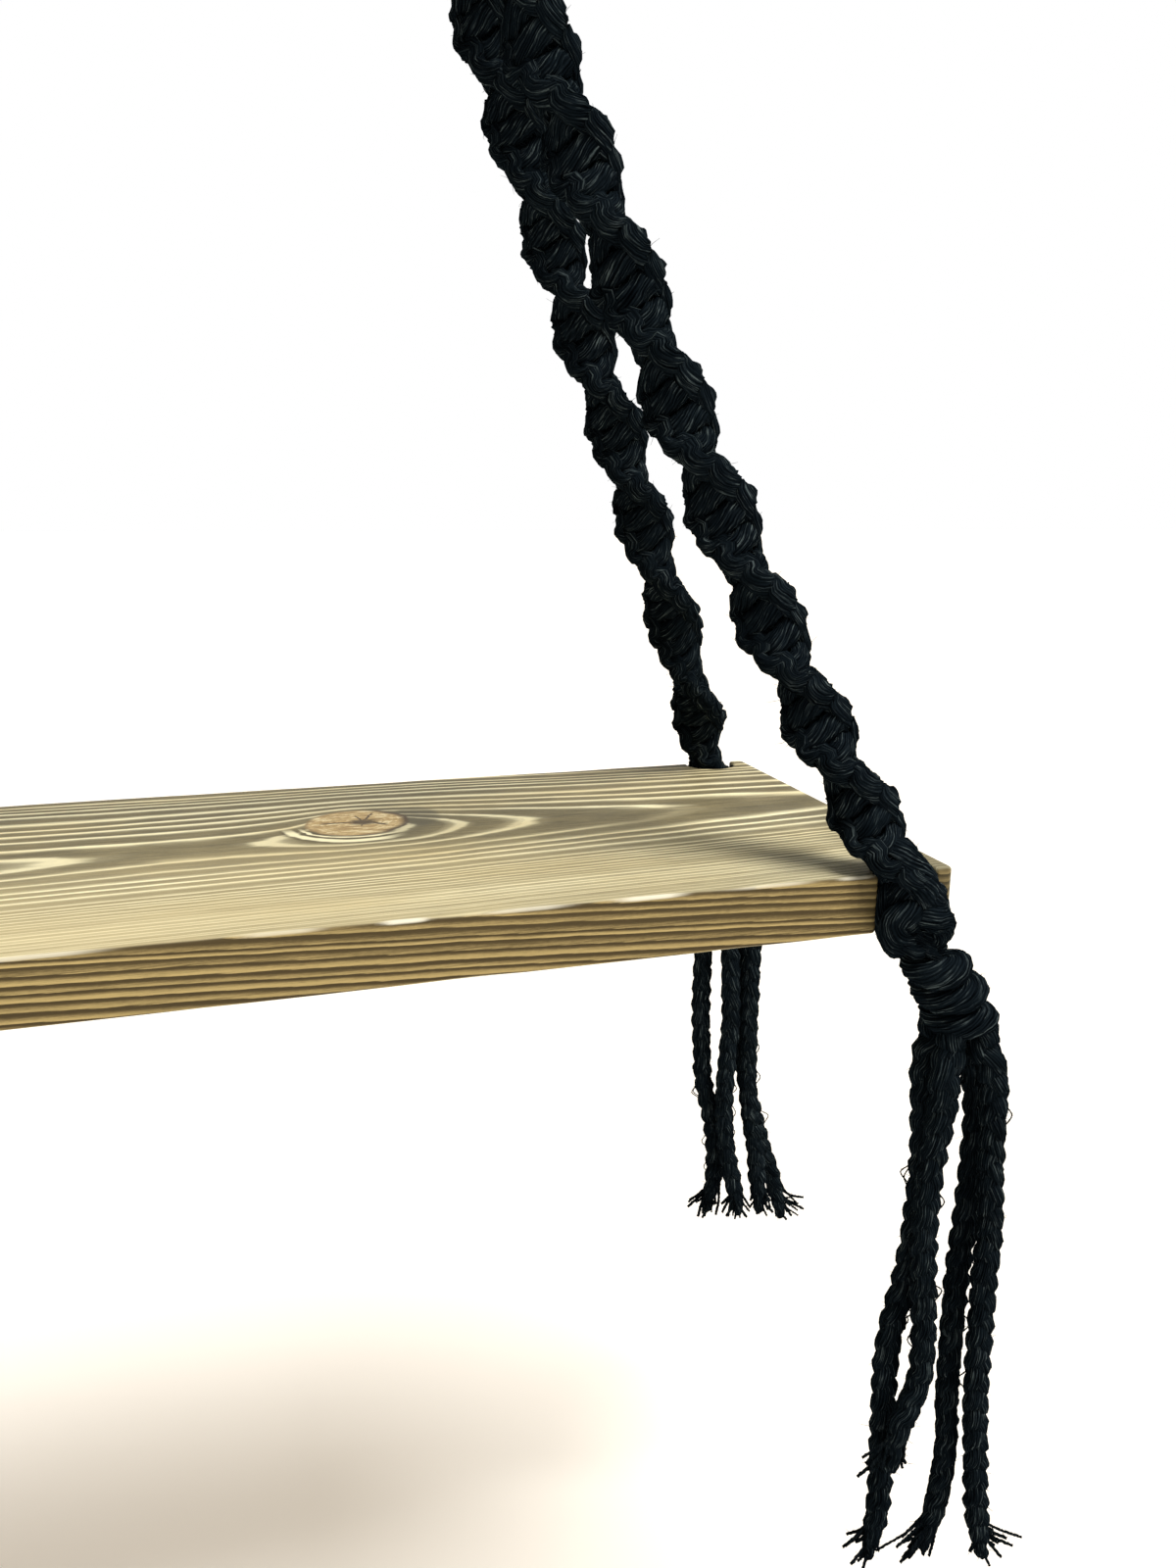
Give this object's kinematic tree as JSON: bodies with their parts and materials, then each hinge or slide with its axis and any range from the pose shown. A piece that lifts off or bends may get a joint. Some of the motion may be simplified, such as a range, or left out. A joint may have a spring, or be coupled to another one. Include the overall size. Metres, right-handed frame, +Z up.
{
  "type": "hanging rope shelf",
  "caption": "Small hanging shelf: a stained pine board held near its corners by spiral-knotted black cotton ropes that gather under a ring, with stop knots and frayed tassels below.",
  "frame": {"origin": "where the hook bears on the inside of the ring's top, on the ring's middle line", "axes": "+Z up, +X along the board's length, +Y to the back of the board, so the front edge is at -Y"},
  "size_m": [0.4806, 0.1914, 0.7944],
  "materials": {
    "pine": "stained pine, satin, with long grain, growth-ring lines on the edge and one round knot",
    "cotton_cord": "matt black cotton cord, soft and slightly fuzzy",
    "steel": "plain welded steel ring"
  },
  "bodies": {
    "ring": {"hanging_ring": "steel"},
    "shelf": {"ring_loops": "cotton_cord", "gathering_wrap": "cotton_cord", "shelf_board": "pine", "front_right_sinnet": "cotton_cord", "back_right_sinnet": "cotton_cord", "back_left_sinnet": "cotton_cord", "front_left_sinnet": "cotton_cord", "front_right_stop_knot": "cotton_cord", "back_right_stop_knot": "cotton_cord", "back_left_stop_knot": "cotton_cord", "front_left_stop_knot": "cotton_cord"},
    "front_right_tassel": {"front_right_tassel_cord_1": "cotton_cord", "front_right_tassel_cord_2": "cotton_cord", "front_right_tassel_cord_3": "cotton_cord", "front_right_tassel_cord_4": "cotton_cord"},
    "back_right_tassel": {"back_right_tassel_cord_1": "cotton_cord", "back_right_tassel_cord_2": "cotton_cord", "back_right_tassel_cord_3": "cotton_cord", "back_right_tassel_cord_4": "cotton_cord"},
    "back_left_tassel": {"back_left_tassel_cord_1": "cotton_cord", "back_left_tassel_cord_2": "cotton_cord", "back_left_tassel_cord_3": "cotton_cord", "back_left_tassel_cord_4": "cotton_cord"},
    "front_left_tassel": {"front_left_tassel_cord_1": "cotton_cord", "front_left_tassel_cord_2": "cotton_cord", "front_left_tassel_cord_3": "cotton_cord", "front_left_tassel_cord_4": "cotton_cord"}
  },
  "joints": [
    {"name": "shelf_swing", "type": "hinge", "parent": "ring", "child": "shelf", "pos_m": [0, 0, -0.025], "axis": [0, 1, 0], "range_deg": [-30, 30]},
    {"name": "front_right_tassel_swing", "type": "hinge", "parent": "shelf", "child": "front_right_tassel", "pos_m": [0.204, -0.083, -0.5715], "axis": [0, 1, 0], "range_deg": [-25, 25]},
    {"name": "back_right_tassel_swing", "type": "hinge", "parent": "shelf", "child": "back_right_tassel", "pos_m": [0.1995, 0.083, -0.5715], "axis": [0, 1, 0], "range_deg": [-25, 25]},
    {"name": "back_left_tassel_swing", "type": "hinge", "parent": "shelf", "child": "back_left_tassel", "pos_m": [-0.204, 0.083, -0.5715], "axis": [0, 1, 0], "range_deg": [-25, 25]},
    {"name": "front_left_tassel_swing", "type": "hinge", "parent": "shelf", "child": "front_left_tassel", "pos_m": [-0.1995, -0.083, -0.5715], "axis": [0, 1, 0], "range_deg": [-25, 25]}
  ]
}
